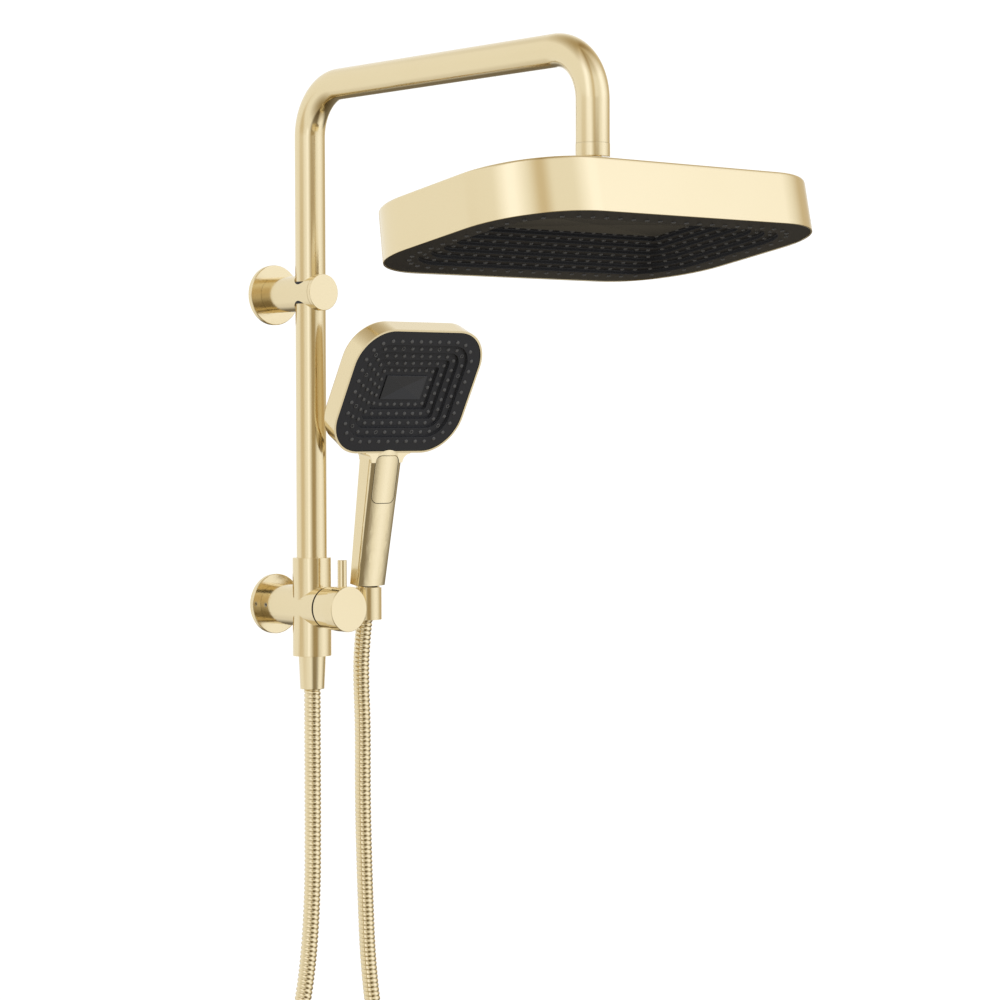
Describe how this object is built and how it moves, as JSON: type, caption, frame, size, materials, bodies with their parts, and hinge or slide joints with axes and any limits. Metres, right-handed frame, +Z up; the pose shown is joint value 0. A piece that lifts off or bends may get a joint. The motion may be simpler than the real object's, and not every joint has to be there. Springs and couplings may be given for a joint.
{
  "type": "rainfall shower column",
  "caption": "Wall-mounted shower column with a bent riser, a tilting overhead spray, a diverter tee, and a hand spray on a hose that lifts from its holder.",
  "frame": {"origin": "centre of the water inlet's mouth, at the lower rose's back face on the wall", "axes": "+X right along the wall seen from the room, +Y into the wall, +Z up; the shower stands out along -Y"},
  "size_m": [0.3178, 0.4998, 1.1133],
  "materials": {
    "gold_metal": "brushed gold plate",
    "gold_hose": "polished gold, spirally ribbed",
    "gold_plastic": "brushed gold plated plastic",
    "black_plastic": "fine matt moulding",
    "gloss_black": "satin facets",
    "grey_silicone": "soft matt silicone",
    "black_rubber": "matt",
    "brass": "machined",
    "steel": "bright",
    "white_plastic": "natural moulding",
    "ptfe": "low-friction liner"
  },
  "bodies": {
    "root": {"upper_wall_plate": "brass", "upper_rose": "gold_metal", "bracket_arm": "gold_metal", "bracket_cap": "gold_metal", "bracket_bush": "black_plastic", "bracket_grub_screw": "steel", "riser_tube": "gold_metal", "riser_seals": "black_rubber", "lower_rose": "gold_metal", "inlet_union": "brass", "union_seals": "black_rubber", "tee_body": "gold_metal", "tee_grub_screw": "steel", "cartridge_sleeve": "white_plastic", "cartridge_seals": "black_rubber", "gland_nut": "brass", "knob_spacer": "black_plastic", "outlet_nipple": "brass", "holder_cup": "gold_metal", "cup_liner": "black_plastic", "hose_nut_lower": "gold_metal", "hose_ferrule_lower": "brass", "hose_washer_lower": "black_rubber", "hose": "gold_hose", "ball_stem": "gold_metal", "inlet_filter": "steel"},
    "diverter": {"diverter_knob": "gold_metal", "diverter_rotor": "brass", "knob_grub_screw": "steel", "lever_pin": "gold_metal"},
    "hose_end": {"hose_nut_upper": "gold_metal", "hose_ferrule_upper": "brass", "hose_washer_upper": "black_rubber"},
    "hand_spray": {"spray_shell": "gold_plastic", "spray_inlet": "black_plastic", "spray_waterway": "white_plastic", "waterway_seal": "black_rubber", "button_spring": "steel", "spray_face": "black_plastic", "spray_nozzle_mat": "grey_silicone", "spray_centre_facet": "gloss_black", "spray_backing_tray": "black_plastic", "spray_screws": "steel"},
    "push_button": {"spray_button": "gold_plastic", "mode_spool": "white_plastic"},
    "swivel_liner": {"ball_liner": "ptfe"},
    "swivel_seal": {"ball_seal": "black_rubber"},
    "overhead": {"ball_nut": "gold_metal", "head_shell": "gold_plastic", "head_face": "black_plastic", "head_nozzle_mat": "grey_silicone", "head_centre_facet": "gloss_black", "head_backing_tray": "black_plastic", "head_inlet_gasket": "black_rubber", "head_screws": "steel"}
  },
  "joints": [
    {"name": "diverter_turn", "type": "hinge", "parent": "root", "child": "diverter", "pos_m": [0, -0.0886, 0], "axis": [0, -1, 0], "range_deg": [-90, 90]},
    {"name": "spray_lift", "type": "slide", "parent": "root", "child": "hose_end", "axis": [0, -0.1702, 0.9854], "range_m": [0, 0.03]},
    {"name": "spray_turn", "type": "hinge", "parent": "hose_end", "child": "hand_spray", "pos_m": [0.0572, -0.0526, 0], "axis": [0, -0.1702, 0.9854], "range_deg": [-4, 60]},
    {"name": "mode_button_push", "type": "slide", "parent": "hand_spray", "child": "push_button", "axis": [0, 0.9854, 0.1702], "range_m": [0, 0.0015], "stiffness_N_per_m": 800, "springref_m": -0.002, "deforming": ["button_spring"]},
    {"name": "overhead_tilt", "type": "hinge", "parent": "root", "child": "swivel_liner", "pos_m": [0, -0.3915, 0.33], "axis": [-1, 0, 0], "range_deg": [-24.5, 5]},
    {"name": "overhead_sway", "type": "hinge", "parent": "swivel_liner", "child": "swivel_seal", "pos_m": [0, -0.3915, 0.33], "axis": [0, -0.9856, 0.1693], "range_deg": [-14, 14]},
    {"name": "overhead_spin", "type": "hinge", "parent": "swivel_seal", "child": "overhead", "pos_m": [0, -0.3915, 0.33], "axis": [0, 0.1693, 0.9856], "continuous": true}
  ]
}
